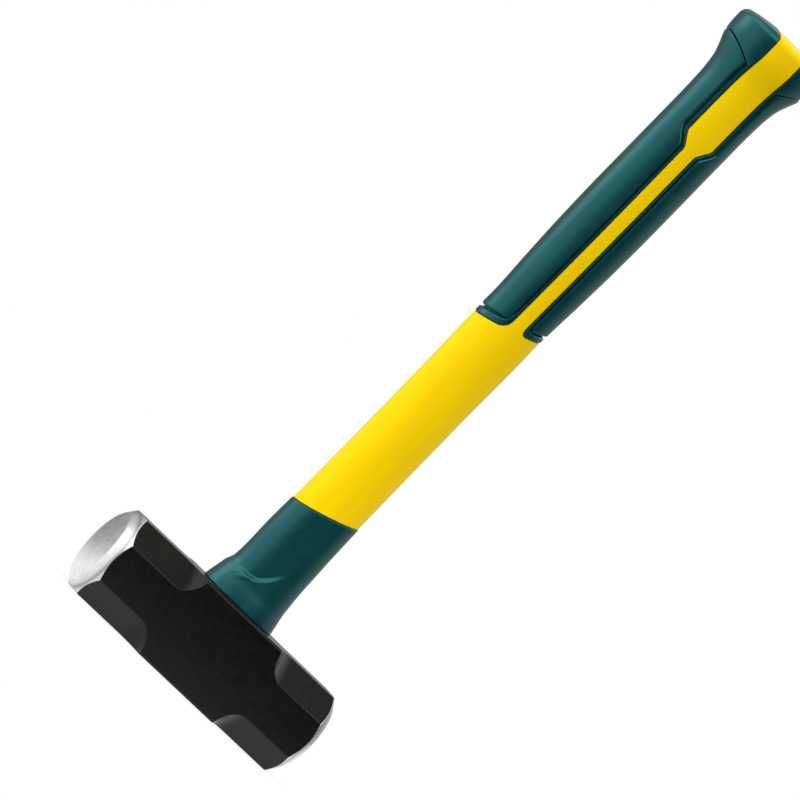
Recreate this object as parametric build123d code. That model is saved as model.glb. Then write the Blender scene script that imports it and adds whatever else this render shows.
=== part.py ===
from build123d import *
import os
from math import cos, radians, sin, sqrt, tan

# A short double-faced sledgehammer on an overmoulded fibreglass handle. Millimetres.
# It stands on its head: +Z runs up the handle to the butt, +X along the head to a striking face,
# and the origin is the centre of the flat that the head stands on.

# Driving dimensions
overall_length = 409.0
head_length = 139.0
head_across = 46.2
section_aspect = 0.79  # every handle section is an ellipse this much thinner in Y than in X

# Head
corner_leg = 12.4  # leg of the 45 degree corner flats near each face
flat_start = 34.8  # X where a corner flat begins to run out towards the cheek
runout_radius = 11.0
crown_radius = 80.0
face_radius = 19.3  # radius of the crowned striking face
end_bevel_angle = 40.0  # of the turned bevel round the face, from the face plane
bevel_blend = 1.5
eye_mouth = (16.2, 12.8)  # semi-axes of the eye at both mouths
eye_waist = (14.8, 11.4)

# Handle
core_axes = (12.5, 9.3)
core_end_gap = 3.5  # from the standing flat up to the core's end
core_butt_gap = 9.0  # jacket left over the core at the butt
seat_radius = 14.2  # jacket under the collar and the grip
knob_seat_drop = 4.0  # how far the seat lies below the knob's surface
seat_butt_gap = 8.0

# Bond in the eye
bond_recess = 0.8  # the resin stops this far short of the standing flat
seal_height = 3.5

# Collar
collar_top = 105.0  # height of the sloping top edge on the axis
collar_slope = 16.7
scoop_depth = 1.3
scoop_lip = [(-10.5, 58.8), (-3, 62), (2, 68), (5, 96)]  # X and height along the hollow's edge

# Grip
grip_start = 224.1  # height of the sloping lower edge on the axis
grip_slope = 16.7
stripe_half = 3.4
panel_half = 7.95
panel_low = 339.6
panel_high = 346.5
side_band = 2.2  # border band beside the stripe
lower_band = {-1: 4.5, 1: 4.0}  # height of the band under the left and the right pad
base_rise = 0.25  # the grip base stands this proud of the jacket's stripe
pad_rise = 0.5
pad_floor = -1.4
shadow_gap = 0.4  # open line left round each pad
left_corner = 4.8
right_corner = 3.4
pad_corner = 2.2
chevron_low = 385.9  # groove between a pad and the knob, where it starts beside the stripe
chevron_slope = 0.54

head_half = head_across / 2
clear = 30.0  # half-width of the cutters, past every part of the handle

# Half-width in X of the jacket's surface at each height
knob_half = 24.75
knob_low = 399.0
shaft_shape = [(86, 16.25), (150, 16.0), (180, 16.0), (215, 16.35), (232, 16.05), (255, 17.0), (280, 17.85)]
grip_shape = [(305, 18.15), (355, 18.1), (370, 18.4), (380, 19.5), (386, 21.4), (390, 23.1), (394, 24.3)]
collar_shape = [(52, 20.1), (57.5, 19.0), (63, 18.45), (70, 17.85), (80, 17.45), (92, 16.95)]
collar_foot = 21.2
collar_lip = (16.45, 118.0)  # radius and height past the top of the sloping cut

# Butt
butt_side = 6.5  # the knob's straight side ends this far below the butt
butt_rim = (4.2, 2.2)  # the rounded rim ends this far in from the side, and below the butt


def flattened(shape):
    """Turn a round solid about Z into one of elliptical section."""
    return scale(shape, by=(1, section_aspect, 1))


def turned(outline):
    """Revolve a closed outline drawn in the XZ plane about Z."""
    return revolve(Plane.XZ * outline, axis=Axis.Z)


def envelope(rise):
    """The handle's outer shape, from inside the collar to the butt, grown sideways by rise."""
    start = shaft_shape[0][0]
    side = [(half + rise, height) for height, half in shaft_shape + grip_shape]
    wide = knob_half + rise
    top = overall_length + min(rise, 0)
    knob = (wide, knob_low)
    shoulder = (wide, overall_length - butt_side)
    rim = (wide - butt_rim[0], top - butt_rim[1])
    edge = Spline(*side, knob, tangents=((0, 1), (0, 1)))
    edge += Line(knob, shoulder)
    edge += TangentArc(shoulder, rim, tangent=(0, 1))
    edge += TangentArc((0, top), rim, tangent=(1, 0))
    edge += Polyline((0, top), (0, start), side[0])
    return flattened(turned(make_face(edge)))


def between(low, high):
    """All the space between two heights."""
    slab = Box(head_length, head_length, high - low, align=(Align.CENTER, Align.CENTER, Align.MIN))
    return Pos(0, 0, low) * slab


def seat():
    """The slimmer jacket body that the collar and the grip are moulded on to."""
    tube = extrude(Circle(seat_radius), overall_length - head_across - seat_butt_gap)
    knob = envelope(-knob_seat_drop) & between(shaft_shape[-1][0], overall_length)
    return flattened(Pos(0, 0, head_across) * tube) + knob


def slope_height(middle, slope, x):
    return middle + x * tan(radians(slope))


def through(outline):
    """Extrude an outline drawn in the XZ plane right through the handle, front to back."""
    return extrude(Plane.XZ * outline, amount=2 * clear, both=True)


def below_slope(middle, slope):
    """Everything under a sloping cut across the handle."""
    low, high = (slope_height(middle, slope, x) for x in (-clear, clear))
    return through(make_face(Polyline((-clear, 0), (-clear, low), (clear, high), (clear, 0), close=True)))


def lobe(side, band, lift, corner):
    """Outline of one half of the grip, inset by band from the stripe and raised by lift."""
    inner = side * (stripe_half + band)
    wide = side * (panel_half + band)
    outer = side * clear
    top = overall_length + clear
    corners = [
        (outer, slope_height(grip_start, grip_slope, outer) + lift),
        (inner, slope_height(grip_start, grip_slope, inner) + lift),
        (inner, panel_low - band / 2),
        (wide, panel_high - band / 2),
        (wide, top),
        (outer, top),
    ]
    face = make_face(Polyline(*corners, close=True))
    rounded = face.vertices().sort_by(lambda v: abs(v.X - inner) + abs(v.Y - corners[1][1]))[0]
    return fillet(rounded, corner)


def pad_region(side, inset):
    """Outline of a raised pad: inside its band, and below the chevron at the knob."""
    region = lobe(side, side_band + inset, lower_band[side] + inset, pad_corner)
    foot = (side * (panel_half + side_band), chevron_low - inset)
    end = (side * clear, foot[1] + chevron_slope * (clear - panel_half - side_band))
    top = overall_length + clear
    over = [foot, end, (end[0], top), (0, top), (0, foot[1])]
    return through(region) - through(make_face(Polyline(*over, close=True)))


def head():
    centre = Pos(0, 0, head_half)
    body = centre * Box(head_length, head_across, head_across)
    flat_height = head_half * sqrt(2) - corner_leg / sqrt(2)
    far = head_length
    start = (flat_start, flat_height)
    wall = (flat_start - runout_radius, flat_height + runout_radius)
    bend = runout_radius * (1 - cos(radians(45)))
    middle = (flat_start - runout_radius * sin(radians(45)), flat_height + bend)
    profile = ThreePointArc(start, middle, wall)
    profile += Polyline(wall, (far, wall[1]), (far, flat_height), start)
    cut = make_face(profile)
    for turn in (45, 135, 225, 315):
        outward = Vector(0, cos(radians(turn)), sin(radians(turn)))
        plane = Plane(origin=(0, 0, head_half), x_dir=(1, 0, 0), z_dir=Vector(1, 0, 0).cross(outward))
        cutter = extrude(plane * cut, amount=clear, both=True)
        body -= cutter + mirror(cutter, about=Plane.YZ)
    return (body & ends()) - eye()


def ends():
    """The turned shape that crowns and bevels both striking faces."""
    half = head_length / 2
    sag = crown_radius - sqrt(crown_radius**2 - face_radius**2)
    quarter = crown_radius - sqrt(crown_radius**2 - (face_radius / 2) ** 2)
    outer = head_across
    bevel = (outer - face_radius) * tan(radians(end_bevel_angle))
    crown = ThreePointArc((half, 0), (half - quarter, face_radius / 2), (half - sag, face_radius))
    side = Polyline((half - sag, face_radius), (half - sag - bevel, outer), (0, outer), (0, 0), (half, 0))
    face = make_face(crown + side)
    edge = face.vertices().sort_by(lambda v: abs(v.X - half + sag) + abs(v.Y - face_radius))[0]
    face = fillet(edge, bevel_blend)
    one = revolve(Plane.XY * face, axis=Axis.X)
    return Pos(0, 0, head_half) * (one + mirror(one, about=Plane.YZ))


def eye():
    sections = [
        Pos(0, 0, -0.01) * Ellipse(*eye_mouth),
        Pos(0, 0, head_half) * Ellipse(*eye_waist),
        Pos(0, 0, head_across + 0.01) * Ellipse(*eye_mouth),
    ]
    return loft(sections, ruled=True)


def core():
    length = overall_length - core_butt_gap - core_end_gap
    return Pos(0, 0, core_end_gap) * extrude(Ellipse(*core_axes), length)


def bond():
    return (eye() & between(bond_recess, head_across - seal_height)) - core()


def seal_ring():
    return (eye() & between(head_across - seal_height, head_across)) - core()


def jacket():
    lobes = through(lobe(-1, 0, 0, left_corner)) + through(lobe(1, 0, 0, right_corner))
    shaft = envelope(0) - below_slope(collar_top, collar_slope) - lobes
    return (shaft + seat()) - core()


def collar():
    side = [(half, height) for height, half in collar_shape]
    foot = (collar_foot, head_across)
    edge = Spline(foot, *side, collar_lip)
    edge += Polyline(collar_lip, (0, collar_lip[1]), (0, head_across), foot)
    outside = flattened(turned(make_face(edge)))
    outside &= below_slope(collar_top, collar_slope)
    return outside - scoop() - seat() - core()


def scoop():
    """The hollow on the striking side of the collar, deepest at its floor and fading upwards."""
    floor = scoop_lip[0][1]
    fade = scoop_lip[-1][1]
    deepest = (collar_shape[2][1] - scoop_depth, floor)
    surface = (collar_shape[-1][1], fade)
    edge = Polyline(deepest, surface, (clear, fade), (clear, floor), close=True)
    shell = flattened(turned(make_face(edge)))
    edge = [(-clear, floor + scoop_depth), *scoop_lip]
    wall = Spline(*edge) + Polyline(edge[-1], (-clear, fade), edge[0])
    return shell & through(make_face(wall))


def grip_base(side, corner):
    body = envelope(base_rise) & through(lobe(side, 0, 0, corner))
    pocket = pad_region(side, 0) - envelope(pad_floor)
    return body - seat() - pocket


def grip_pad(side):
    return (envelope(pad_rise) & pad_region(side, shadow_gap)) - envelope(pad_floor)


pieces = {
    "hammer_head": head(),
    "fiberglass_core": core(),
    "epoxy_bond": bond(),
    "eye_seal_ring": seal_ring(),
    "handle_jacket": jacket(),
    "head_collar": collar(),
    "grip_base_left": grip_base(-1, left_corner),
    "grip_base_right": grip_base(1, right_corner),
    "grip_pad_left": grip_pad(-1),
    "grip_pad_right": grip_pad(1),
}

os.makedirs("parts", exist_ok=True)
for node, shape in pieces.items():
    export_step(shape, f"parts/{node}.step")
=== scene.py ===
"""Looks of a short double-faced sledgehammer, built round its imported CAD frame.

Lengths are millimetres until a mesh is made. The handle's parts are skins over one shape: an ellipse whose
size follows a profile up the handle. A place on it is a height, measured along the profile, and an angle
that is 0 at the front (-Y) and grows towards the left striking face (-X).
"""

import math

import bmesh
import bpy
import numpy as np
from mathutils import Matrix, Vector


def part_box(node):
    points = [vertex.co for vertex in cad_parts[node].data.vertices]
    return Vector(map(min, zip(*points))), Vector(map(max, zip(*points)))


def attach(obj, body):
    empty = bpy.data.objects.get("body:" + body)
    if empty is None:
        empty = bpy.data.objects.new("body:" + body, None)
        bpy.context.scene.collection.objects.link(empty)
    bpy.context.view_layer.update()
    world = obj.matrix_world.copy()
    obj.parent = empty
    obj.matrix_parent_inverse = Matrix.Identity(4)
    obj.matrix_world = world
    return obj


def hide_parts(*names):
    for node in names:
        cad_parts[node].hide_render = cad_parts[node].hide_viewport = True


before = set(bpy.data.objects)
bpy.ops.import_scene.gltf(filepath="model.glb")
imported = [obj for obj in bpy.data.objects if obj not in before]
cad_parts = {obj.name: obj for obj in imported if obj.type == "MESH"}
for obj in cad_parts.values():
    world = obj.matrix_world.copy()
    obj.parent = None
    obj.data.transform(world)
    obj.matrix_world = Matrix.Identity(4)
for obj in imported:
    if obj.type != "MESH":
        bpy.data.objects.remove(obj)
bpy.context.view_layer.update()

MM = 0.001
SHARP_ANGLE = math.radians(40)


def node_box(node):
    """Lowest and highest corner of a CAD node, in millimetres."""
    return tuple(np.array(corner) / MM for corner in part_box(node))


head_low, head_high = node_box("hammer_head")
head_half = (head_high[2] - head_low[2]) / 2
face_apex = head_high[0]
head_top = head_high[2]
butt_top = node_box("handle_jacket")[1][2]
eye_half = node_box("eye_seal_ring")[1]
core_half = node_box("fiberglass_core")[1]

# Head
CORNER_LEG = 12.4  # leg of the 45 degree corner flats
FLAT_START = 34.8  # X where a corner flat starts to run out towards the middle
RUNOUT_RADIUS = 11.0
RUNOUT_SWEEP = math.radians(79)  # how much of the run-out's arc has sections of its own
CHEEK_SECTIONS = [0, 8, 16, 21, 23]  # X of the sections between the run-outs
LAST_SECTION = 56  # X of the last section before the turned end
MIDDLE_LEG = 0.9  # leg of the corners in the middle
EDGE_RADIUS = 0.9
CROWN_RADIUS = 80.0
FACE_RADIUS = 19.3
BEVEL_TILT = math.radians(40)  # from the face's plane
BEVEL_BLEND = 5.0  # radius between the bevel and the face
PAINT_EDGE_RADIUS = 0.5
EYE_CHAMFER = 1.2
EYE_TAPER = 1.4  # how much narrower the eye is in the middle

# Handle
ASPECT = 0.79  # sections are this much thinner in Y than in X
KNOB_HALF = 24.75
KNOB_HEIGHT = 399.0
RIM_RADIUS = 4.3
DOME_SAG = 0.0056  # the butt drops by this times the square of the distance from its centre
SLEEVE_TOP = 88.0  # up to here the jacket is slimmer, inside the collar
SLEEVE_DROP = 2.0

# Height and half width of the section
SHAFT = [
    (head_top, 16.25), (SLEEVE_TOP, 16.25), (150, 16.0), (180, 16.0), (215, 16.35), (232, 16.05),
    (255, 17.0), (280, 17.85), (305, 18.15), (355, 18.1), (370, 18.4), (380, 19.5), (386, 21.4),
    (390, 23.1), (394, 24.3), (KNOB_HEIGHT, KNOB_HALF),
]
COLLAR = [
    (head_top, 21.2), (52, 20.1), (57.5, 19.0), (63, 18.45), (70, 17.85), (80, 17.45), (92, 16.95),
    (120, 16.45),
]

# Collar
COLLAR_TOP = 105.0
COLLAR_SLOPE = math.tan(math.radians(16.7))
LEDGE_LOW = (-10.5, 58.8)  # X and height of the lowest point of the hollow's lip
LEDGE_CURL = (0.035, 0.059)  # how fast the lip climbs on its left and on its right
HOLLOW_DEPTH = 1.3
HOLLOW_FADE = (60, 92)  # heights between which the hollow fades
FOLD_START = (-15.0, 55.0)  # X and height of the ends of the fold under the lip
FOLD_END = (-8.5, 59.6)
FOLD_RISE = 0.3
FOLD_WIDTH = 0.9
FOOT_ROUND = 0.8
BORE_GAP = 0.03  # between the collar's bore and the jacket

# Joints between yellow and green
JOINT_DEPTH = 0.9
JOINT_STEP = 0.35  # width of the rubber's step at the bottom of a joint
RUBBER_ROLL = 0.45  # width of the rounded edge
PLASTIC_ROLL = 0.17

# Grip
GRIP_START = 224.1
GRIP_SLOPE = math.tan(math.radians(16.7))
STRIPE_HALF = 3.4
PANEL_HALF = 7.95
PANEL_LOW = 339.6
PANEL_HIGH = 346.5
CORNER = {-1: 4.8, 1: 3.4}  # radius of the lower corners, left and right
BAND = 1.8  # border band beside the stripe
BAND_GROWTH = 0.8  # how much wider it is beside the panel
LOWER_BAND = {-1: 4.3, 1: 3.8}
POCKET_WALL = 0.35
BASE_RISE = 0.25  # over the jacket's surface, as all levels down to RECESS
PAD_RISE = 0.5
POCKET = -1.4
RECESS = -2.4  # the jacket under the rubber
SEAT_GAP = 0.04  # between a rubber part and what it lies on
PAD_GAP = 0.45  # open line round a pad
PAD_CORNER = 2.4
PAD_EDGE = -0.55  # level of the pad's outline
PAD_ROLL = 1.25
KNOB_ROLL = 0.8
CHEVRON_LOW = 385.9  # height of the groove under the knob, beside the stripe
CHEVRON_RISE = 7.4
CHEVRON_START = 10.6  # distance from the middle where it starts to climb
SIDE_NAMES = {-1: "left", 1: "right"}


# ---------------------------------------------------------------- curves

def smoothstep(x, low=0.0, high=1.0):
    t = np.clip((np.asarray(x, float) - low) / (high - low), 0, 1)
    return t * t * (3 - 2 * t)


def quarter_round(x):
    """Rises from 0 to 1 as a quarter circle while x goes from 0 to 1."""
    t = 1 - np.clip(x, 0, 1)
    return np.sqrt(1 - t * t)


def monotone_curve(points, step=0.25):
    """Samples a smooth curve through (height, half width) points without overshoot."""
    x, y = np.array(points, float).T
    gap = np.diff(x)
    rise = np.diff(y) / gap
    slope = np.zeros(len(x))
    for i in range(1, len(x) - 1):
        if rise[i - 1] * rise[i] > 0:
            near, far = gap[i] + 2 * gap[i - 1], 2 * gap[i] + gap[i - 1]
            slope[i] = (near + far) / (far / rise[i - 1] + near / rise[i])
    slope[0] = rise[0]
    heights = np.linspace(x[0], x[-1], max(2, round((x[-1] - x[0]) / step)) + 1)
    i = np.clip(np.searchsorted(x, heights, side="right") - 1, 0, len(gap) - 1)
    t = (heights - x[i]) / gap[i]
    widths = (
        (1 + 2 * t) * (1 - t) ** 2 * y[i]
        + t * (1 - t) ** 2 * gap[i] * slope[i]
        + t * t * (3 - 2 * t) * y[i + 1]
        + t * t * (t - 1) * gap[i] * slope[i + 1]
    )
    return heights, widths


class Profile:
    """Half width and height along a path up the handle's side.
    If domed, the path goes on round the rim and over the butt."""

    def __init__(self, points, domed):
        z, a = monotone_curve(points)
        side_end = len(z)
        if domed:
            # The rim turns until its slope is the dome's
            turn = math.radians(90)
            for _ in range(8):
                edge = KNOB_HALF - RIM_RADIUS + RIM_RADIUS * math.cos(turn)
                turn = math.atan(1 / (2 * DOME_SAG * edge))
            centre = butt_top - DOME_SAG * edge**2 - RIM_RADIUS * math.sin(turn)
            turns = np.linspace(0, turn, 24)
            radii = np.linspace(edge, 0, 60)[1:]
            z = np.concatenate([z, centre + RIM_RADIUS * np.sin(turns), butt_top - DOME_SAG * radii**2])
            a = np.concatenate([a, KNOB_HALF - RIM_RADIUS + RIM_RADIUS * np.cos(turns), radii])
        self.z, self.a = z, a
        self.s = z[0] + np.concatenate([[0], np.cumsum(np.hypot(np.diff(a), np.diff(z)))])
        self.dz, self.da = np.gradient(z, self.s), np.gradient(a, self.s)
        if domed:
            self.rim = self.s[side_end]
            self.dome = self.s[side_end + len(turns) - 1:]

    def at(self, height):
        """Path position of a height on the side."""
        return np.interp(height, self.z, self.s)

    def height(self, s):
        return np.interp(s, self.s, self.z)

    def half(self, s):
        return np.maximum(np.interp(s, self.s, self.a), 1e-4)

    def place(self, s, angle, rise):
        """Points of the surface, lifted along its normal by rise."""
        a, z = self.half(s), self.height(s)
        da, dz = np.interp(s, self.s, self.da), np.interp(s, self.s, self.dz)
        sin, cos = np.sin(angle), np.cos(angle)
        point = np.stack([-a * sin, -ASPECT * a * cos, z], -1)
        normal = np.stack([-ASPECT * dz * sin, -dz * cos, -ASPECT * da], -1)
        normal /= np.linalg.norm(normal, axis=-1, keepdims=True)
        return point + normal * rise[..., None]


arc_angles = np.linspace(0, np.pi / 2, 2000)
arc_lengths = np.concatenate([[0], np.cumsum(
    np.hypot(np.diff(np.sin(arc_angles)), ASPECT * np.diff(np.cos(arc_angles))))])


def stripe_half(height):
    """Half width of the yellow stripe: narrow, then widening by two short slopes into the butt's panel."""
    soft = 0.35
    height = np.asarray(height, float)
    first, second = (soft * np.logaddexp(0, (height - end) / soft) for end in (PANEL_LOW, PANEL_HIGH))
    return STRIPE_HALF + (PANEL_HALF - STRIPE_HALF) * (first - second) / (PANEL_HIGH - PANEL_LOW)


def band_width(height):
    """Width of the grip's border band beside the stripe."""
    return BAND + BAND_GROWTH * smoothstep(height, PANEL_LOW - 3, PANEL_HIGH)


# ---------------------------------------------------------------- meshes

def grid_faces(rows, columns, start=0, wrap=False, flip=False):
    index = start + np.arange(rows * columns).reshape(rows, columns)
    if wrap:
        index = np.hstack([index, index[:, :1]])
    quads = np.stack([index[:-1, :-1], index[:-1, 1:], index[1:, 1:], index[1:, :-1]], -1).reshape(-1, 4)
    return (quads[:, ::-1] if flip else quads).tolist()


def strip_faces(low, high):
    """Quads between two equally long lists of vertex numbers."""
    return [(low[i], low[i + 1], high[i + 1], high[i]) for i in range(len(low) - 1)]


def slab(skin, under):
    """Vertices and faces of a closed pad between two grids of the same size."""
    rows, columns = skin.shape[:2]
    verts = np.concatenate([skin.reshape(-1, 3), under.reshape(-1, 3)])
    start = rows * columns
    faces = grid_faces(rows, columns) + grid_faces(rows, columns, start, flip=True)
    index = np.arange(start).reshape(rows, columns)
    for edge in (index[0], index[-1], index[:, 0], index[:, -1]):
        faces += strip_faces(edge.tolist(), (edge + start).tolist())
    return verts, faces


def tube(outer, inner, closed_top=False):
    """Vertices and faces of a skin and its bore, joined at the foot and at the top.
    With closed_top, both close over by themselves."""
    columns = outer.shape[1]
    verts = np.concatenate([outer.reshape(-1, 3), inner.reshape(-1, 3)])
    start = outer.shape[0] * columns
    faces = grid_faces(outer.shape[0], columns, 0, wrap=True)
    faces += grid_faces(inner.shape[0], columns, start, wrap=True, flip=True)
    joints = [(0, start)]
    if not closed_top:
        joints.append((start - columns, len(verts) - columns))
    for outside, inside in joints:
        ring = list(range(columns)) + [0]
        faces += strip_faces([outside + i for i in ring], [inside + i for i in ring])
    return verts, faces


def clean(mesh):
    """Welds a mesh, drops what has no area and turns its faces outwards."""
    work = bmesh.new()
    work.from_mesh(mesh)
    bmesh.ops.remove_doubles(work, verts=work.verts, dist=2e-6)
    bmesh.ops.dissolve_degenerate(work, edges=work.edges, dist=2e-6)
    loose = [v for v in work.verts if not v.link_faces]
    bmesh.ops.delete(work, geom=loose, context="VERTS")
    bmesh.ops.recalc_face_normals(work, faces=work.faces)
    if work.calc_volume(signed=True) < 0:
        bmesh.ops.reverse_faces(work, faces=work.faces)
    work.to_mesh(mesh)
    work.free()


def make_piece(name, verts, faces, materials, node, face_materials=None):
    mesh = bpy.data.meshes.new(name)
    mesh.from_pydata((np.asarray(verts) * MM).tolist(), [], faces)
    for material in materials:
        mesh.materials.append(material)
    if face_materials is not None:
        mesh.polygons.foreach_set("material_index", face_materials)
    clean(mesh)
    mesh.shade_smooth()
    mesh.set_sharp_from_angle(angle=SHARP_ANGLE)
    piece = bpy.data.objects.new(name, mesh)
    bpy.context.scene.collection.objects.link(piece)
    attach(piece, "root")
    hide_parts(node)
    return piece


# ---------------------------------------------------------------- head

def octagon(leg, flat_steps=16, round_steps=6):
    """Points round a square section whose corners are cut by leg, with every edge rounded."""
    half_turn = math.radians(22.5)
    flat = head_half - leg
    corners = [(head_half, -flat), (head_half, flat), (flat, head_half), (-flat, head_half),
               (-head_half, flat), (-head_half, -flat), (-flat, -head_half), (flat, -head_half)]
    radius = min(EDGE_RADIUS, 0.45 * leg * math.sqrt(2) / math.tan(half_turn))
    reach = radius * math.tan(half_turn)
    points = []
    for i, corner in enumerate(corners):
        corner = np.array(corner)
        before, after = np.array(corners[i - 1]), np.array(corners[(i + 1) % 8])
        into = (before - corner) / np.linalg.norm(before - corner)
        out = (after - corner) / np.linalg.norm(after - corner)
        inward = (into + out) / np.linalg.norm(into + out)
        centre = corner + inward * radius / math.cos(half_turn)
        start, end = corner + into * reach, corner + out * reach
        for t in np.linspace(0, 1, round_steps + 1):
            arm = (1 - t) * (start - centre) + t * (end - centre)
            points.append(centre + radius * arm / np.linalg.norm(arm))
        run_end = after - out * reach
        for t in np.linspace(0, 1, flat_steps + 1)[1:-1]:
            points.append(end + t * (run_end - end))
    return np.array(points)


def corner_leg(x):
    """Leg of the corner cut at distance x from the middle: full, then running out in an arc."""
    reach = np.clip(FLAT_START - x, 0, RUNOUT_RADIUS)
    lift = RUNOUT_RADIUS - np.sqrt(RUNOUT_RADIUS**2 - reach**2)
    return np.maximum(CORNER_LEG - lift * math.sqrt(2), MIDDLE_LEG)


def fillet_points(corner, before, after, radius, steps):
    """Points of a round of this radius in the corner between two directions."""
    into, out = (v / np.linalg.norm(v) for v in (before - corner, after - corner))
    half = math.acos(np.clip(into @ out, -1, 1)) / 2
    reach = radius / math.tan(half)
    centre = corner + (into + out) / np.linalg.norm(into + out) * radius / math.sin(half)
    start, end = corner + into * reach - centre, corner + out * reach - centre
    arms = [(1 - t) * start + t * end for t in np.linspace(0, 1, steps)]
    return [centre + radius * arm / np.linalg.norm(arm) for arm in arms]


def end_profile(radius):
    """(x, radius) points from the paint's edge over the bevel and the crown to the face's centre."""
    sag = CROWN_RADIUS - math.sqrt(CROWN_RADIUS**2 - FACE_RADIUS**2)
    inner = np.array([face_apex - sag, FACE_RADIUS])
    outer = np.array([inner[0] - (radius - FACE_RADIUS) * math.tan(BEVEL_TILT), radius])
    crown_slope = np.array([sag * 2 / FACE_RADIUS, -1.0])
    points = fillet_points(outer, outer - [1, 0], inner, PAINT_EDGE_RADIUS, 6)
    blend = fillet_points(inner, outer, inner + crown_slope, BEVEL_BLEND, 8)
    start = points[-1]
    points += [start + t * (blend[0] - start) for t in np.linspace(0, 1, 8)[1:-1]]
    points += blend
    edge = blend[-1][1]
    for r in edge * (1 - np.linspace(0, 1, 15)[1:]):
        points.append(np.array([face_apex - CROWN_RADIUS + math.sqrt(CROWN_RADIUS**2 - r * r), r]))
    return np.array(points)


def half_head():
    """Rows of points from the head's middle to the face's centre, and the row where the bare steel starts."""
    angles = np.linspace(RUNOUT_SWEEP, 0, 22)
    runout = FLAT_START - RUNOUT_RADIUS * np.sin(angles)
    flats = np.linspace(FLAT_START, LAST_SECTION, 12)[1:]
    stations = np.concatenate([CHEEK_SECTIONS, [runout[0] - 0.25], runout, flats])
    rows = []
    for x in stations:
        section = octagon(float(corner_leg(x)))
        rows.append(np.column_stack([np.full(len(section), x), section]))
    section = octagon(CORNER_LEG)
    radii = np.linalg.norm(section, axis=1)
    ends = np.array([end_profile(r) for r in radii])
    last = stations[-1]
    for t in np.linspace(0, 1, 8)[1:-1]:
        x = last + t * (ends[:, 0, 0] - last)
        rows.append(np.column_stack([x, section]))
    painted = len(rows)
    for k in range(ends.shape[1]):
        scaled = section * (ends[:, k, 1] / radii)[:, None]
        rows.append(np.column_stack([ends[:, k, 0], scaled]))
    return np.array(rows), painted


def eye_cutter():
    """The tapering oval eye with a small chamfer at each mouth."""
    mouth = np.array([eye_half[0], eye_half[1]])
    chamfer = [(-1.0, EYE_CHAMFER + 1), (0.0, EYE_CHAMFER), (EYE_CHAMFER, 0.0)]
    levels = chamfer + [(head_half, -EYE_TAPER)] + [(head_top - z, grow) for z, grow in reversed(chamfer)]
    angles = np.linspace(0, 2 * np.pi, 96, endpoint=False)
    rows = [np.column_stack([(mouth[0] + grow) * np.cos(angles), (mouth[1] + grow) * np.sin(angles),
                             np.full(len(angles), z)]) for z, grow in levels]
    verts = np.concatenate(rows)
    faces = grid_faces(len(rows), len(angles), wrap=True)
    faces += [list(range(len(angles)))[::-1], list(range(len(verts) - len(angles), len(verts)))]
    mesh = bpy.data.meshes.new("eye_cutter")
    mesh.from_pydata((verts * MM).tolist(), [], faces)
    cutter = bpy.data.objects.new("eye_cutter", mesh)
    bpy.context.scene.collection.objects.link(cutter)
    return cutter


def build_head(lacquer, steel):
    """The forging: two mirrored halves in one mesh, bare steel at the ends, the eye cut through."""
    rows, painted = half_head()
    columns = rows.shape[1]
    mirrored = rows[1:, :, :] * [-1, 1, 1]
    grid = np.concatenate([mirrored[::-1], rows])
    grid[:, :, 2] += head_half
    faces = grid_faces(len(grid), columns, wrap=True)
    bare = [k < len(rows) - 1 - painted or k >= len(rows) - 1 + painted for k in range(len(grid) - 1)]
    slots = np.repeat(np.array(bare, int), columns)
    head = make_piece("hammer_head_forging", grid.reshape(-1, 3), faces, [lacquer, steel],
                      "hammer_head", slots.tolist())
    cutter = eye_cutter()
    cut = head.modifiers.new("eye", "BOOLEAN")
    cut.object, cut.operation, cut.solver = cutter, "DIFFERENCE", "EXACT"
    settle_modifiers(head)
    bpy.data.objects.remove(cutter)
    head.data.set_sharp_from_angle(angle=SHARP_ANGLE)
    weigh_normals(head)
    return head


def settle_modifiers(piece):
    """Replaces a piece's mesh by the one its modifiers make."""
    graph = bpy.context.evaluated_depsgraph_get()
    made = bpy.data.meshes.new_from_object(piece.evaluated_get(graph))
    piece.modifiers.clear()
    clean(made)
    piece.data = made


def weigh_normals(piece):
    weighted = piece.modifiers.new("flat_faces_lead", "WEIGHTED_NORMAL")
    weighted.keep_sharp = True
    weighted.weight = 80


# ---------------------------------------------------------------- grip and jacket

handle = Profile(SHAFT, domed=True)
SLANT = math.cos(math.atan(GRIP_SLOPE))

# How far from an edge the finely spaced columns lie
BASE_STEPS = [
    0, 0.33, 0.36, 0.41, 0.5, 0.62, 0.8, 1.0, 1.2, 1.42, 1.55, 1.68, 1.8, 2.0, 2.3, 2.6, 2.9, 3.4, 4.2, 5.2,
]
JACKET_STEPS = [0, 0.3, 0.7, 1.2, 2.0, 3.6]
PAD_STEPS = [0, 0.06, 0.15, 0.3, 0.5, 0.75, 1.05, 1.4, 2.0, 3.0]
MIDDLE_STEPS = 20

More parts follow.
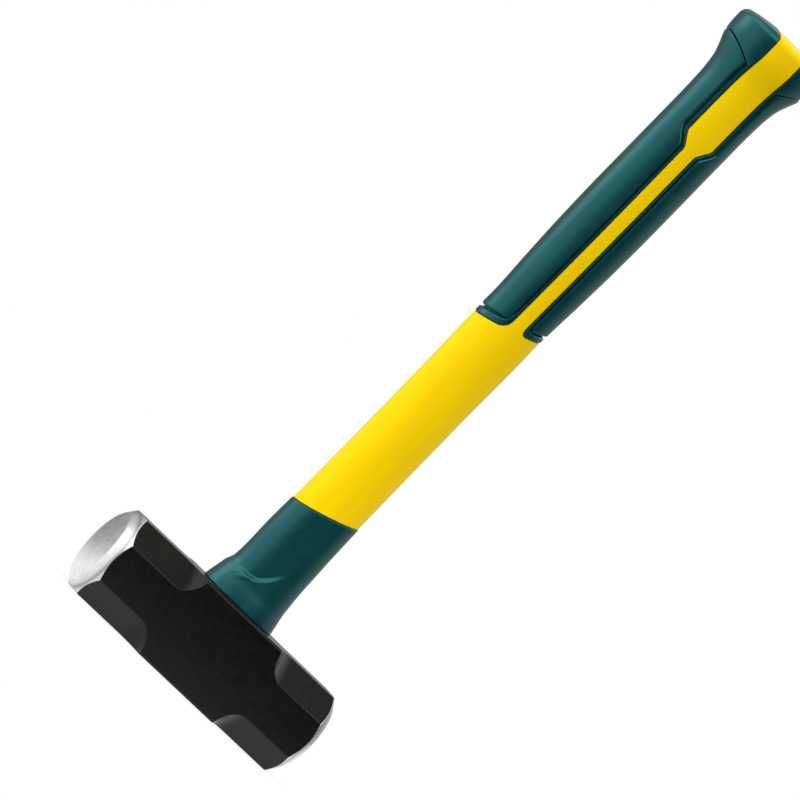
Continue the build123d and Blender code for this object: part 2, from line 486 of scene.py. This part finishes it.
# How far from an edge or a groove the finely spaced rows lie
BASE_FOOT = [0, 0.33, 0.36, 0.41, 0.5, 0.62, 0.8, 1.1, 1.5, 1.9, 2.4, 2.8, 3.2, 3.5, 3.8, 4.1, 4.4, 4.7, 5.3]
BASE_RIDGE = [-1.4, -1, -.7, -.45, -.3, -.18, -.06, .06, .18, .3, .45, .65, .9, 1.3, 2]
BASE_FOOT_END = 6
PAD_RIDGE = [-3.4, -2.4, -1.7, -1.2, -.85, -.6, -.38, -.2, -.08, 0]
PAD_FOOT_END = 4.4
JACKET_LIP = [-.6, -.3, -.02, .01, .04, .08, .12, .17, .3, .6]
JACKET_FOOT = [-1.2, -.8, -.5, -.3, -.17, -.12, -.08, -.04, 0, .02, .1, .3, .6, 1, 2, 4]
COLLAR_FOOT = [0, .03, .1, .2, .35, .55, .8, 1.1]
COLLAR_EDGE = [-1.2, -.8, -.62, -.5, -.41, -.36, -.33, 0]

# Rows follow the slope of the grip's lower edge below the first height; the stripe has widened by the second
LEVEL_FROM = 320.0
SHOULDER_END = 350.0


def stripe_reach(s, outside=0.0):
    """Arc position, in units of the section's half width, of a line this far outside the stripe's edge."""
    half = handle.half(s)
    edge = np.arcsin(np.clip(stripe_half(handle.height(s)) / half, 0, 1))
    return np.interp(edge, arc_angles, arc_lengths) + outside / half


def across_lobe(s, steps, outside=0.0):
    """Angles of one lobe's columns, front to back, and how far each is from the nearer long edge.
    s holds a path position for every row and column; the long edges run outside the stripe's edge."""
    half = handle.half(s)
    start = stripe_reach(s, outside)
    reach = np.maximum(half * (arc_lengths[-1] - start), 0)
    squeeze = np.minimum(1, reach / (2 * steps[-1]))
    middle = MIDDLE_STEPS - 1
    fine = np.array(steps + [0.0] * middle)
    spread = np.array([0.0] * len(steps) + list(np.arange(1, MIDDLE_STEPS) / middle))
    last = np.array([0.0] * len(steps) + [steps[-1]] * middle)
    fine, spread, last = (np.concatenate([v, v[-2::-1]]) for v in (fine, spread, last))
    near = (fine + last) * squeeze + (reach - steps[-1] * squeeze) * spread
    angle = np.interp(start + near / half, arc_lengths, arc_angles)
    back = np.arange(len(fine)) > len(fine) // 2
    return np.where(back, np.pi - angle, angle), near


def lobe_width(steps):
    return 2 * (len(steps) + MIDDLE_STEPS - 1) - 1


def lower_line(side, angle, s):
    """Height of the grip's sloping lower edge, before its corners are rounded."""
    return GRIP_START + GRIP_SLOPE * side * handle.half(s) * np.sin(angle)


def corner_lift(near, radius):
    """How far a rounded corner raises the lower edge at this distance from the long edge."""
    inside = np.clip(radius - near, 0, radius)
    return radius - np.sqrt(radius**2 - inside**2)


def rounded_distance(beside, above, radius):
    """Distance from an outline that has a rounded corner, given the distances from its two straight sides."""
    corner = radius - np.hypot(radius - beside, radius - above)
    return np.where((beside < radius) & (above < radius), corner, np.minimum(beside, above))


def chevron(angle):
    """Height of the groove between a pad and the knob: lowest beside the stripe, climbing to the side."""
    reach = (np.abs(np.sin(angle)) * KNOB_HALF - CHEVRON_START) / (KNOB_HALF - CHEVRON_START)
    return CHEVRON_LOW + CHEVRON_RISE * np.clip(reach, 0, 1)


def rise_rows(first):
    """Rows from a sloping first row to level ones, close together where the stripe widens."""
    levels = np.concatenate([np.arange(LEVEL_FROM + 1.2, PANEL_LOW - 3, 1.2),
                             np.arange(PANEL_LOW - 3, SHOULDER_END, 0.5)])
    rows = [first + (LEVEL_FROM - first) * t for t in np.linspace(0, 1, 84)]
    return rows + [np.full_like(first, level) for level in levels]


def stepped(line, steps):
    """Rows at these distances from a line."""
    return [line + step for step in steps]


def between(low, high, count):
    """Rows strictly between two rows."""
    return [low + (high - low) * t for t in np.linspace(0, 1, count + 2)[1:-1]]


def rim_rows(last):
    """Rows from the last one up the knob, round the rim and over the dome to the panel's half width."""
    end = float(np.interp(-PANEL_HALF, -handle.half(handle.dome), handle.dome))
    rim = np.linspace(handle.rim, handle.dome[0], 16)
    dome = np.linspace(handle.dome[0], end, 24)[1:]
    levels = np.concatenate([rim, dome])
    return between(last, handle.rim, count=10) + [np.full_like(last, level) for level in levels]


def lower_edge(side, steps, radius, outside=0.0, band=0.0):
    """Height of a lobe's sloping lower edge, its corners rounded, at each of the lobe's columns."""
    foot = np.full(lobe_width(steps), GRIP_START)
    angle, near = across_lobe(foot, steps, outside)
    return lower_line(side, angle, foot) + band / SLANT + corner_lift(near, radius)


def ridge_path(steps, outside):
    """Path position of the chevron groove at each of a lobe's columns."""
    foot = np.full(lobe_width(steps), handle.at(CHEVRON_LOW + CHEVRON_RISE / 2))
    return handle.at(chevron(across_lobe(foot, steps, outside)[0]))


def turn_side(side, angle):
    """Angles grow to the left from the front, so on the right they are negative."""
    return angle if side < 0 else -angle


def rubber_edge(distance, rise):
    """Height of a rubber skin near its edge: rise, rolled down to a narrow step at the joint's bottom."""
    return -JOINT_DEPTH + (rise + JOINT_DEPTH) * quarter_round((distance - JOINT_STEP) / RUBBER_ROLL)


def plastic_edge(distance):
    """Height of the yellow skin near a joint: it drops straight down to the rubber's step."""
    return -JOINT_DEPTH * (1 - quarter_round(distance / PLASTIC_ROLL))


def collar_line(angle):
    """Height of the collar's sloping top edge."""
    return COLLAR_TOP - COLLAR_SLOPE * handle.half(COLLAR_TOP) * np.sin(angle)


def even_band(distance, width):
    """Squeezes a distance so that a border band of this width counts as BAND wide."""
    rim = 0.8
    return np.where(distance < rim, distance, rim + (distance - rim) * (BAND - rim) / (width - rim))


def build_grip_base(side, rubber):
    """A rubber half of the grip: border band, pocket for the pad, and its half of the knob."""
    low = lower_edge(side, BASE_STEPS, CORNER[side])
    rows = stepped(low, BASE_FOOT) + rise_rows(low + BASE_FOOT_END)
    ridge = ridge_path(BASE_STEPS, 0)
    rows += between(rows[-1], ridge + BASE_RIDGE[0], count=32) + stepped(ridge, BASE_RIDGE)
    rows += rim_rows(rows[-1])
    s = np.array(rows)
    angle, near = across_lobe(s, BASE_STEPS)
    z = handle.height(s)
    above = (z - lower_line(side, angle, s)) * SLANT
    beside = even_band(near, band_width(z))
    far = rounded_distance(beside, even_band(above, LOWER_BAND[side]), CORNER[side])
    edge = rubber_edge(far, BASE_RISE)
    band = BASE_RISE + (POCKET - BASE_RISE) * smoothstep(far, BAND - POCKET_WALL, BAND)
    past = s - handle.at(chevron(angle))
    knob = POCKET + (BASE_RISE - POCKET) * quarter_round((past + 0.1) / KNOB_ROLL)
    knob = np.where(z > SHOULDER_END, knob, POCKET)
    turned = turn_side(side, angle)
    skin = handle.place(s, turned, np.minimum(edge, np.maximum(band, knob)))
    under = handle.place(s, turned, np.full_like(s, RECESS + SEAT_GAP))
    verts, faces = slab(skin, under)
    name = "grip_base_" + SIDE_NAMES[side]
    return make_piece(name + "_rubber", verts, faces, [rubber], name)


def build_grip_pad(side, rubber):
    """The raised pad that lies in a grip base's pocket, rounded along its whole outline."""
    low = lower_edge(side, PAD_STEPS, PAD_CORNER, BAND + PAD_GAP, LOWER_BAND[side] + PAD_GAP)
    rows = stepped(low, PAD_STEPS) + rise_rows(low + PAD_FOOT_END)
    ridge = ridge_path(PAD_STEPS, band_width(KNOB_HEIGHT) + PAD_GAP) - PAD_GAP
    rows += between(rows[-1], ridge + PAD_RIDGE[0], count=32) + stepped(ridge, PAD_RIDGE)
    s = np.array(rows)
    angle, near = across_lobe(s, PAD_STEPS, band_width(handle.height(s)) + PAD_GAP)
    above = (handle.height(s) - lower_line(side, angle, s)) * SLANT - LOWER_BAND[side] - PAD_GAP
    under_knob = handle.at(chevron(angle)) - PAD_GAP - s
    far = np.minimum(rounded_distance(near, above, PAD_CORNER), under_knob)
    rise = PAD_EDGE + (PAD_RISE - PAD_EDGE) * quarter_round(np.clip(far, 0, None) / PAD_ROLL)
    turned = turn_side(side, angle)
    skin = handle.place(s, turned, rise)
    under = handle.place(s, turned, np.full_like(s, POCKET + SEAT_GAP))
    verts, faces = slab(skin, under)
    name = "grip_pad_" + SIDE_NAMES[side]
    return make_piece(name + "_rubber", verts, faces, [rubber], name)


def jacket_ring(s, part_sizes):
    """Angles round the jacket for each row, with the distance of each point from its part's long edge.
    The parts are the front stripe, the left lobe, the back stripe and the right lobe."""
    edges = np.cumsum([0] + part_sizes)
    front, left, back, right = (s[:, edges[i]:edges[i + 1]] for i in range(4))
    share = stripe_shares(part_sizes[0])
    out = []
    for part, turn in ((front, 0.0), (back, np.pi)):
        half = handle.half(part)
        width = np.minimum(stripe_half(handle.height(part)), half)
        angle = turn + np.arcsin(np.clip(share * width / half, -1, 1))
        out.append((angle, width * (1 - np.abs(share))))
    for part, mirrored in ((left, False), (right, True)):
        angle, near = across_lobe(part[:, ::-1] if mirrored else part, JACKET_STEPS)
        out.append((2 * np.pi - angle[:, ::-1], near[:, ::-1]) if mirrored else (angle, near))
    order = (out[0], out[2], out[1], out[3])
    return tuple(np.concatenate([part[i] for part in order], axis=1) for i in (0, 1))


def ellipse_ring(angle, half_x, half_y, level):
    """Points of an ellipse at these angles and this level."""
    return np.column_stack([-half_x * np.sin(angle), -half_y * np.cos(angle), np.full_like(angle, level)])


def stripe_shares(count):
    """Places across the stripe from edge to edge, closer together near the edges."""
    return np.sin(np.linspace(-1, 1, count) * np.pi / 2)


def build_jacket(plastic):
    """The yellow skin: bare below the grip, sunk under the lobes, standing between them as the stripe."""
    stripe = stripe_shares(33)
    sizes = [len(stripe), lobe_width(JACKET_STEPS)] * 2
    lobes = []
    for side in (-1, 1):
        low = lower_edge(side, JACKET_STEPS, CORNER[side])
        lobes.append(low if side < 0 else low[::-1])
    front = np.linspace(lobes[1][-1], lobes[0][0], len(stripe))
    back = np.linspace(lobes[0][-1], lobes[1][0], len(stripe))
    low = np.concatenate([front, lobes[0], back, lobes[1]])
    sleeve = [head_top, SLEEVE_TOP - 0.1, SLEEVE_TOP]
    rows = [np.full_like(low, level) for level in sleeve]
    lip = handle.at(collar_line(jacket_ring(np.full((1, len(low)), COLLAR_TOP), sizes)[0][0]))
    rows += between(rows[-1], lip + JACKET_LIP[0], count=5) + stepped(lip, JACKET_LIP)
    rows += between(rows[-1], low + JACKET_FOOT[0], count=58) + stepped(low, JACKET_FOOT)
    rows += rise_rows(low + BASE_FOOT_END)
    knob = np.full_like(low, KNOB_HEIGHT)
    rows += between(rows[-1], knob, count=34) + rim_rows(knob)
    pole = handle.dome[-1]
    rows += [rows[-1] + (pole - rows[-1]) * t for t in np.linspace(0, 1, 12)[1:]]
    s = np.array(rows)
    angle, near = jacket_ring(s, sizes)
    is_stripe = np.repeat([True, False, True, False], sizes)
    past = s - low
    on_lobe = np.where(past > 0.01, RECESS, plastic_edge(-past))
    on_stripe = plastic_edge(near) * smoothstep(past, -0.2, 0.1)
    rise = np.where(is_stripe, on_stripe, on_lobe)
    lip = handle.height(s) - collar_line(angle)
    rise = np.where(lip > 0, np.minimum(rise, plastic_edge(lip)), rise - JOINT_DEPTH - 0.1)
    rise[handle.half(s) <= PANEL_HALF + 0.01] = 0
    rise[s < SLEEVE_TOP - 0.05] = -SLEEVE_DROP
    skin = handle.place(s, angle, rise)
    core_top = node_box("fiberglass_core")[1][2]
    levels = np.linspace(head_top, core_top, 50)
    bore = [ellipse_ring(angle[0], core_half[0], core_half[1], level) for level in levels]
    bore.append(ellipse_ring(angle[0], 0, 0, core_top))
    verts, faces = tube(skin, np.array(bore), closed_top=True)
    return make_piece("handle_jacket_skin", verts, faces, [plastic], "handle_jacket")


# ---------------------------------------------------------------- collar

collar = Profile(COLLAR, domed=False)


def ledge_height(x):
    """Height of the J-shaped lip under the collar's hollow, at a distance from the middle."""
    beyond = x - LEDGE_LOW[0]
    return LEDGE_LOW[1] + np.where(beyond > 0, LEDGE_CURL[1], LEDGE_CURL[0]) * beyond**2


def hollow(x, z):
    """Depth of the collar's hollow: deep just over its lip, fading upwards and to the right."""
    aside = smoothstep(-x, 12, 17)
    inside = (z - ledge_height(x) + 4.0 * aside) / np.hypot(1, 1.1 * smoothstep(x, -9, 4))
    depth = smoothstep(inside, 0, 2.2 + 4.0 * aside) * smoothstep(x, 6.0, -2.0)
    return HOLLOW_DEPTH * depth * (1 - smoothstep(z, *HOLLOW_FADE))


def fold(x, z):
    """Height of the short fold that runs down from the lip towards the striking face."""
    start = np.array(FOLD_START)
    run = np.array(FOLD_END) - start
    t = np.clip(((x - start[0]) * run[0] + (z - start[1]) * run[1]) / (run @ run), 0, 1)
    away = np.hypot(x - start[0] - t * run[0], z - start[1] - t * run[1])
    return FOLD_RISE * np.exp(-((away / FOLD_WIDTH) ** 2)) * smoothstep(t, 0, 0.5)


def build_collar(rubber):
    """The rubber sleeve against the head: the same hollow front and back, the fold on the front only."""
    columns, level_rows = 220, 96
    angle = np.linspace(0, 2 * np.pi, columns, endpoint=False)
    x = -collar.half(COLLAR_TOP) * np.sin(angle)
    top = COLLAR_TOP + COLLAR_SLOPE * x
    foot = np.full(columns, float(head_top))
    rows = stepped(foot, COLLAR_FOOT)
    rows += between(rows[-1], top + COLLAR_EDGE[0], level_rows) + stepped(top, COLLAR_EDGE)
    s = collar.at(np.array(rows))
    angles = np.broadcast_to(angle, s.shape)
    z = collar.height(s)
    across = -collar.half(s) * np.sin(angles)
    foot_round = FOOT_ROUND * (1 - quarter_round((z - head_top) / FOOT_ROUND))
    lip = np.minimum(0, rubber_edge(top - z, 0)) - foot_round
    front = np.cos(angles) > 0
    skin = collar.place(s, angles, lip - hollow(across, z) + fold(across, z) * front)
    sleeve = foot + SLEEVE_TOP - head_top
    bore = [(foot, SLEEVE_DROP), (sleeve - 0.1, SLEEVE_DROP)]
    bore += [(level, 0) for level in (sleeve, (sleeve + top) / 2, top - 0.3)]
    inner = [handle.place(level, angle, np.full(columns, BORE_GAP - drop)) for level, drop in bore]
    verts, faces = tube(skin, np.array(inner))
    return make_piece("head_collar_rubber", verts, faces, [rubber], "head_collar")


# ---------------------------------------------------------------- materials

def grey(level):
    """A neutral colour."""
    return (level, level, level, 1)


# Pairs of colours that a slow noise runs between
LACQUER = (0.0016, 0.0016, 0.0019, 1), (0.0028, 0.0028, 0.0032, 1)
YELLOW = (0.92, 0.625, 0.0025, 1), (0.88, 0.585, 0.002, 1)
TEAL = (0.0008, 0.029, 0.033, 1), (0.0016, 0.037, 0.042, 1)
GLASS = (0.50, 0.47, 0.36, 1), (0.72, 0.69, 0.57, 1)
EPOXY = (0.10, 0.055, 0.015, 1), (0.20, 0.12, 0.04, 1)

EPOXY_PIT = (0.05, 0.03, 0.01, 1)
DUST = (0.03, 0.03, 0.032, 1)


class Graph:
    """A node tree that is built from small named steps."""

    def __init__(self, tree):
        self.tree = tree

    def add(self, kind, inputs=None, **settings):
        node = self.tree.nodes.new(kind)
        for key, value in settings.items():
            setattr(node, key, value)
        for key, value in (inputs or {}).items():
            self.feed(node.inputs[key], value)
        return node

    def feed(self, socket, value):
        if isinstance(value, bpy.types.NodeSocket):
            self.tree.links.new(value, socket)
        else:
            socket.default_value = value

    def remap(self, value, low, high, to_low, to_high, soft=False):
        """Maps low..high to to_low..to_high, held at the ends."""
        inputs = {"Value": value, "From Min": low, "From Max": high, "To Min": to_low, "To Max": to_high}
        shape = "SMOOTHSTEP" if soft else "LINEAR"
        return self.add("ShaderNodeMapRange", inputs, interpolation_type=shape).outputs[0]

    def math(self, operation, first, second=0.0):
        return self.add("ShaderNodeMath", {0: first, 1: second}, operation=operation).outputs[0]

    def vector(self, operation, first, second=(0, 0, 0)):
        node = self.add("ShaderNodeVectorMath", {0: first, 1: second}, operation=operation)
        return node.outputs["Value" if operation in ("DOT_PRODUCT", "LENGTH") else "Vector"]

    def blend(self, share, first, second):
        """First number where share is 0, second where it is 1."""
        return self.add("ShaderNodeMix", {0: share, 2: first, 3: second}).outputs[0]

    def mix(self, share, first, second):
        """First colour where share is 0, second where it is 1."""
        return self.add("ShaderNodeMix", {0: share, 6: first, 7: second}, data_type="RGBA").outputs[2]


class Shader(Graph):
    """A node material with one Principled surface."""

    def __init__(self, name):
        self.material = bpy.data.materials.new(name)
        self.material.use_nodes = True
        super().__init__(self.material.node_tree)
        self.surface = self.tree.nodes["Principled BSDF"]
        self.place = self.add("ShaderNodeTexCoord").outputs["Object"]

    def set(self, **values):
        for key, value in values.items():
            self.feed(self.surface.inputs[key.replace("_", " ")], value)

    def noise(self, size, detail=3.0, roughness=0.5, stretch=(1, 1, 1), place=None):
        """Noise whose lumps are about size millimetres across, from 0 to 1."""
        mapping = self.add("ShaderNodeMapping", {"Vector": place or self.place, "Scale": stretch})
        node = self.add("ShaderNodeTexNoise", {"Vector": mapping.outputs[0], "Scale": 1 / (size * MM),
                                               "Detail": detail, "Roughness": roughness})
        return node.outputs[0]

    def tint(self, noise, high, first, second):
        """First colour where the noise is low, second where it is at least high."""
        return self.mix(self.remap(noise, 0.3, high, 0, 1), first, second)

    def cells(self, size):
        """Distance from the middle of the nearest of many cells of this size in millimetres."""
        node = self.add("ShaderNodeTexVoronoi", {"Vector": self.place, "Scale": 1 / (size * MM)})
        return node.outputs["Distance"]

    def bump(self, height, depth, normal=None):
        """Bump whose full range is depth millimetres."""
        node = self.add("ShaderNodeBump", {"Height": height, "Distance": depth * MM, "Strength": 1.0})
        if normal is not None:
            self.feed(node.inputs["Normal"], normal)
        return node.outputs[0]


def lacquer_material():
    """Black baked lacquer over a forged surface: orange peel on shallow forging waves, and a little dust."""
    shader = Shader("black_lacquer")
    mottle = shader.noise(9, detail=4)
    dust = shader.noise(1.3, detail=5, roughness=0.7)
    color = shader.tint(mottle, 0.7, *LACQUER)
    speck = shader.remap(dust, 0.66, 0.8, 0, 0.35)
    shader.set(Base_Color=shader.mix(speck, color, DUST))
    shader.set(Roughness=shader.remap(shader.noise(3.2, detail=4), 0.25, 0.75, 0.22, 0.34))
    shader.set(Specular_IOR_Level=0.22, Specular_Tint=(0.93, 0.93, 1.0, 1))
    waves = shader.bump(shader.noise(7, detail=2, roughness=0.4), 0.05)
    shader.set(Normal=shader.bump(shader.noise(0.8, detail=2, roughness=0.5), 0.006, waves))
    return shader.material


def steel_material():
    """Bare turned steel: fine rings round the head's axis under a light haze, with painted shade that greys
    the bevel and a dark band of painted shade where the paint starts."""
    shader = Shader("bright_steel")
    from_centre = shader.vector("SUBTRACT", shader.place, (0, 0, head_half * MM))
    along = shader.vector("DOT_PRODUCT", from_centre, (1, 0, 0))
    radius = shader.vector("LENGTH", shader.vector("MULTIPLY", from_centre, (0, 1, 1)))
    line = shader.add("ShaderNodeCombineXYZ", {"X": radius, "Y": shader.math("MULTIPLY", along, 0.7)})
    rings = shader.noise(0.16, detail=3, roughness=0.6, place=line.outputs[0])
    haze = shader.noise(6, detail=4, roughness=0.6)
    tone = shader.mix(shader.remap(haze, 0.35, 0.7, 0, 1), grey(0.72), grey(0.58))
    tone = shader.mix(shader.remap(rings, 0.3, 0.75, 0, 0.3), tone, grey(0.42))
    # Painted shade: greys the bevel to hold down its bright reflection.
    turned = shader.remap(radius, FACE_RADIUS * MM, (FACE_RADIUS + 3) * MM, 0, 0.4, soft=True)
    tone = shader.mix(turned, tone, grey(0.3))
    # Painted shade: a dark band on the bevel along the paint's edge, beside the flats.
    heel = shader.math("ABSOLUTE", shader.math("SUBTRACT", radius, head_half * MM))
    reach = shader.math("ADD", heel, shader.math("MULTIPLY", haze, 1.4 * MM))
    paint_edge_shade = shader.remap(reach, 0.5 * MM, 2.0 * MM, 0.55, 0, soft=True)
    shader.set(Base_Color=shader.mix(paint_edge_shade, tone, grey(0.05)))
    shader.set(Metallic=1.0)
    shader.set(Roughness=shader.remap(shader.noise(2.2, detail=5, roughness=0.65), 0.3, 0.75, 0.25, 0.4))
    shader.set(Normal=shader.bump(rings, 0.006))
    return shader.material


def plastic_material():
    """Satin yellow polypropylene: faint flow along the handle, fine moulding texture, a few rubbed spots."""
    shader = Shader("yellow_polypropylene")
    flow = shader.noise(5, detail=3, roughness=0.5, stretch=(1, 1, 0.14))
    color = shader.tint(flow, 0.7, *YELLOW)
    shader.set(Base_Color=color)
    rubbed = shader.remap(shader.noise(2.4, detail=5, roughness=0.7), 0.35, 0.75, 0.36, 0.48)
    shader.set(Roughness=rubbed)
    shader.set(Specular_IOR_Level=0.2, Specular_Tint=(1.0, 0.85, 0.1, 1))
    swell = shader.bump(flow, 0.03)
    shader.set(Normal=shader.bump(shader.noise(0.45, detail=2), 0.004, swell))
    return shader.material


def rubber_material(name, grain):
    """Dark teal moulded rubber: satin, with a fine grain and a faint paler bloom."""
    shader = Shader(name)
    bloom = shader.noise(11, detail=4, roughness=0.55, stretch=(1, 1, 0.4))
    color = shader.tint(bloom, 0.75, *TEAL)
    shader.set(Base_Color=color)
    shader.set(Roughness=shader.remap(shader.noise(2.8, detail=5, roughness=0.65), 0.3, 0.75, 0.27, 0.37))
    shader.set(Specular_IOR_Level=0.75, Specular_Tint=(0.25, 1.0, 0.95, 1))
    swell = shader.bump(shader.noise(14, detail=2, roughness=0.4), 0.05)
    shader.set(Normal=shader.bump(shader.noise(0.38, detail=3, roughness=0.6), grain, swell))
    return shader.material


def fiberglass_material():
    """Pultruded rod: pale resin with glass strands along its length."""
    shader = Shader("pultruded_fiberglass")
    strands = shader.noise(0.5, detail=4, roughness=0.6, stretch=(1, 1, 0.02))
    color = shader.tint(strands, 0.7, *GLASS)
    shader.set(Base_Color=color, Roughness=shader.remap(strands, 0.3, 0.7, 0.32, 0.5))
    shader.set(Normal=shader.bump(strands, 0.03))
    return shader.material


def resin_material():
    """Cast epoxy: dark amber, with small bubbles."""
    shader = Shader("cast_epoxy")
    cloud = shader.noise(6, detail=4)
    color = shader.tint(cloud, 0.7, *EPOXY)
    bubbles = shader.cells(1.6)
    pits = shader.remap(bubbles, 0.0, 0.22, 0, 1)
    shader.set(Base_Color=shader.mix(pits, EPOXY_PIT, color), Roughness=0.24)
    shader.set(Normal=shader.bump(pits, 0.08))
    return shader.material


def foam_material():
    """Closed-cell foam ring."""
    shader = Shader("seal_foam")
    cells = shader.cells(0.6)
    shader.set(Base_Color=shader.mix(cells, grey(0.02), grey(0.06)), Roughness=0.9)
    shader.set(Normal=shader.bump(cells, 0.15))
    return shader.material


def finish_node(node, material):
    """Gives a CAD node that stays in view its material."""
    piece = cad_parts[node]
    piece.data.materials.clear()
    piece.data.materials.append(material)
    piece.data.shade_smooth()
    piece.data.set_sharp_from_angle(angle=math.radians(30))


# ---------------------------------------------------------------- stage

WHITE = grey(1.0)
LEFT_LIGHT = 1.3
RIGHT_LIGHT = 0.55
BACK_SHARE = 0.25
RING_LIGHT = 2.5
RING_RIGHT_SHARE = 0.55
RING_BACK_SHARE = 0.3
TOP_LIGHT = 0.6
FLOOR_LIGHT = 1.35
TENT_LEFT = (-0.94, 0.34, 0)
TENT_FRONT = (0.29, -0.96, 0)


def tent(graph, look):
    """Brightness of the tent's belt in a horizontal direction: dark in front, dim behind, brightest left."""
    left = graph.vector("DOT_PRODUCT", look, TENT_LEFT)
    front = graph.vector("DOT_PRODUCT", look, TENT_FRONT)
    side = graph.remap(left, -0.6, 0.9, RIGHT_LIGHT, LEFT_LIGHT, soft=True)
    side = graph.math("MULTIPLY", side, graph.remap(front, -1.0, -0.65, BACK_SHARE, 1.0, soft=True))
    return graph.math("MULTIPLY", side, graph.remap(front, 0.3, 0.75, 1.0, 0.0, soft=True))


def build_floor():
    """A pale floor that brightens into the background away from the object. In reflections it carries on the
    tent's belt, so that its dark front has no bright strip under it."""
    bpy.ops.mesh.primitive_circle_add(vertices=96, radius=9.0, fill_type="NGON", location=(0, 0, 0))
    floor = bpy.context.object
    floor.name = "floor"
    shader = Shader("pale_floor")
    shader.set(Base_Color=grey(0.93), Roughness=0.9, Specular_IOR_Level=0.0)
    distance = shader.vector("LENGTH", shader.place)
    belt = tent(shader, shader.vector("NORMALIZE", shader.place))
    cast = shader.blend(shader.remap(distance, 0.05, 0.4, 0, 1), FLOOR_LIGHT, belt)
    to_camera = shader.add("ShaderNodeLightPath").outputs["Is Camera Ray"]
    glow = shader.add("ShaderNodeEmission", {"Color": WHITE, "Strength": shader.blend(to_camera, cast, 1.0)})
    share = shader.remap(distance, 0.18, 0.75, 0.75, 1.0)
    blend = shader.add("ShaderNodeMixShader", {0: share, 1: shader.surface.outputs[0], 2: glow.outputs[0]})
    shader.feed(shader.tree.nodes["Material Output"].inputs["Surface"], blend.outputs[0])
    floor.data.materials.append(shader.material)


def build_world():
    """White to the camera. To the object, a soft tent: its belt, a bright ring above and below that is
    dimmer on the right and behind, and weaker light from straight up and down."""
    world = bpy.data.worlds.new("studio")
    bpy.context.scene.world = world
    world.use_nodes = True
    graph = Graph(world.node_tree)
    graph.tree.nodes.clear()
    look = graph.add("ShaderNodeTexCoord").outputs["Generated"]
    height = graph.math("ABSOLUTE", graph.vector("DOT_PRODUCT", look, (0, 0, 1)))
    left = graph.vector("DOT_PRODUCT", look, TENT_LEFT)
    front = graph.vector("DOT_PRODUCT", look, TENT_FRONT)
    ring = graph.math("MULTIPLY", graph.remap(left, -0.75, -0.1, RING_RIGHT_SHARE, 1, soft=True), RING_LIGHT)
    ring = graph.math("MULTIPLY", graph.remap(front, -0.75, -0.2, RING_BACK_SHARE, 1, soft=True), ring)
    over = graph.blend(graph.remap(height, 0.75, 0.95, 0, 1, soft=True), ring, TOP_LIGHT)
    cast = graph.blend(graph.remap(height, 0.25, 0.55, 0, 1, soft=True), tent(graph, look), over)
    to_camera = graph.add("ShaderNodeLightPath").outputs["Is Camera Ray"]
    strength = graph.blend(to_camera, cast, 1.0)
    shine = graph.add("ShaderNodeBackground", {"Color": WHITE, "Strength": strength})
    graph.add("ShaderNodeOutputWorld", {"Surface": shine.outputs[0]})


def add_light(name, place, target, size, watts):
    """A square light, unseen by the camera. Metres."""
    data = bpy.data.lights.new(name, "AREA")
    data.size, data.energy = size, watts
    light = bpy.data.objects.new(name, data)
    light.location = place
    light.rotation_euler = (Vector(target) - Vector(place)).to_track_quat("-Z", "Y").to_euler()
    light.visible_camera = False
    bpy.context.scene.collection.objects.link(light)


def build_lights():
    middle = (0, 0, butt_top * MM / 2)
    add_light("rim_left", (-2.0, 0.5, 0.7), middle, size=1.0, watts=6)
    add_light("grip_fill", (0.45, -1.1, 0.85), (0, 0, 0.36), size=0.5, watts=3)


CAMERA_YAW = math.radians(17.0)
CAMERA_PITCH = math.radians(0.17)
CAMERA_TURN = math.radians(44.25)  # round the line of sight
CAMERA_DISTANCE = 3200.0
LENS = 313.7
AIM_ACROSS = -12.45  # X and height of the point in the middle of the picture
AIM_HEIGHT = 165.85


def build_camera():
    """Looks at the hammer from the left of its front, turned so that the handle runs to the upper right."""
    target = Vector((AIM_ACROSS, 0, AIM_HEIGHT)) * MM
    level = math.cos(CAMERA_PITCH)
    forward = Vector((math.sin(CAMERA_YAW) * level, math.cos(CAMERA_YAW) * level, -math.sin(CAMERA_PITCH)))
    right = Vector((math.cos(CAMERA_YAW), -math.sin(CAMERA_YAW), 0))
    up = right.cross(forward)
    turned_right = right * math.cos(CAMERA_TURN) + up * math.sin(CAMERA_TURN)
    turned_up = up * math.cos(CAMERA_TURN) - right * math.sin(CAMERA_TURN)
    axes = Matrix((turned_right, turned_up, -forward)).transposed()
    data = bpy.data.cameras.new("camera")
    data.lens, data.sensor_width = LENS, 36
    data.clip_end = 50
    camera = bpy.data.objects.new("camera", data)
    camera.matrix_world = Matrix.Translation(target - forward * CAMERA_DISTANCE * MM) @ axes.to_4x4()
    bpy.context.scene.collection.objects.link(camera)
    bpy.context.scene.camera = camera


# ---------------------------------------------------------------- assembly

build_head(lacquer_material(), steel_material())
build_jacket(plastic_material())
grip_rubber = rubber_material("teal_rubber", 0.012)
pad_rubber = rubber_material("teal_pad_rubber", 0.02)
build_collar(grip_rubber)
for side in (-1, 1):
    build_grip_base(side, grip_rubber)
    build_grip_pad(side, pad_rubber)
finish_node("fiberglass_core", fiberglass_material())
finish_node("epoxy_bond", resin_material())
finish_node("eye_seal_ring", foam_material())
build_floor()
build_world()
build_lights()
build_camera()
bpy.context.scene.view_settings.view_transform = "Standard"
